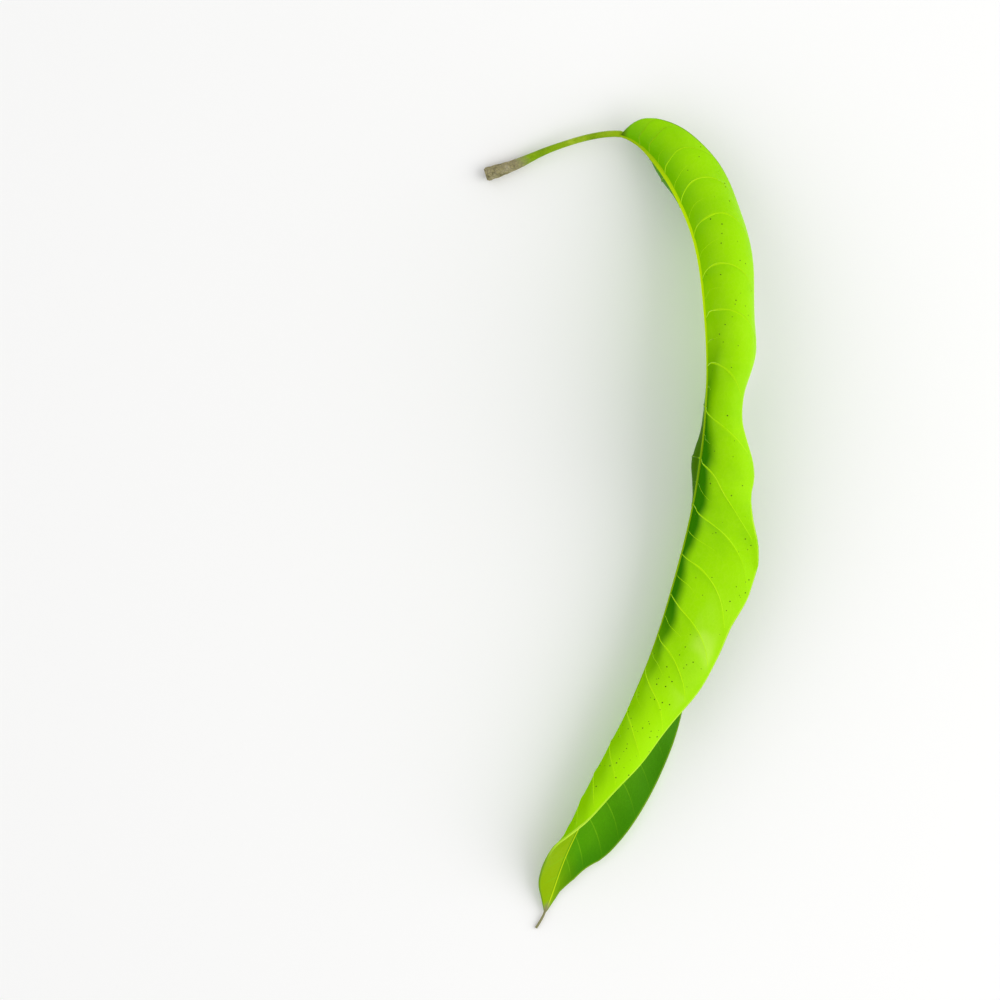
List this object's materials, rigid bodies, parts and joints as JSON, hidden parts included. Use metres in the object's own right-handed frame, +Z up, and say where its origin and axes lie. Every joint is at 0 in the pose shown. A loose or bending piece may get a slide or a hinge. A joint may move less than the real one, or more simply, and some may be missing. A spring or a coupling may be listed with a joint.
{
  "type": "mango leaf",
  "caption": "Picked mango leaf curled along its midrib into an open trough, lying on its side, with a curved stalk and a thin drip tip.",
  "frame": {"origin": "middle of the leaf's outer box, on the surface that it lies on", "axes": "+Y from the drip tip towards the stalk end, +X towards the open side of the trough, +Z up"},
  "size_m": [0.083, 0.2452, 0.0413],
  "materials": {
    "leaf": "waxy fresh leaf, half gloss"
  },
  "bodies": {
    "root": {"mango_leaf": "leaf"}
  },
  "joints": []
}
